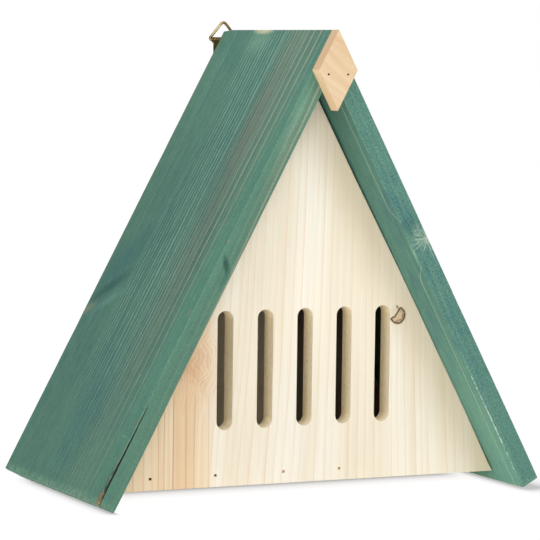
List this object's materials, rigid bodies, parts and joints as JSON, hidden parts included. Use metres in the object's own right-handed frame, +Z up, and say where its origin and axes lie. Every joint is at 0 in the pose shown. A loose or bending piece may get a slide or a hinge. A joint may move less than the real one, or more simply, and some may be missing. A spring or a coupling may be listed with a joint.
{
  "type": "butterfly house",
  "caption": "A-frame wooden butterfly house with green-stained roof boards, a pale slotted front panel, a diamond at the ridge and a swinging hanging ring at the back.",
  "frame": {"origin": "under the middle of the bounding box, on the ground that the roof boards' lower edges stand on", "axes": "+X to the viewer's right facing the slotted front, +Y to the back, +Z up to the ridge"},
  "size_m": [0.2888, 0.1626, 0.2808],
  "materials": {
    "green_stained_wood": "matt translucent green stain over softwood grain",
    "pale_pine": "planed, bare",
    "peach_wood": "sanded, bare",
    "brad_steel": "dull",
    "antique_brass": "antiqued"
  },
  "bodies": {
    "house": {"left_roof_board": "green_stained_wood", "right_roof_board": "green_stained_wood", "front_panel": "pale_pine", "back_panel": "pale_pine", "floor_board": "pale_pine", "ridge_diamond": "peach_wood", "hanger_plate": "antique_brass", "hanger_screw": "antique_brass", "left_front_brads": "brad_steel", "left_back_brads": "brad_steel", "right_front_brads": "brad_steel", "right_back_brads": "brad_steel", "front_floor_brads": "brad_steel", "back_floor_brads": "brad_steel", "diamond_brads": "brad_steel"},
    "ring": {"hanger_ring": "antique_brass"}
  },
  "joints": [
    {"name": "ring_swing", "type": "hinge", "parent": "house", "child": "ring", "pos_m": [0, 0.0795, 0.26874], "axis": [-1, 0, 0], "range_deg": [-50, 178]}
  ]
}
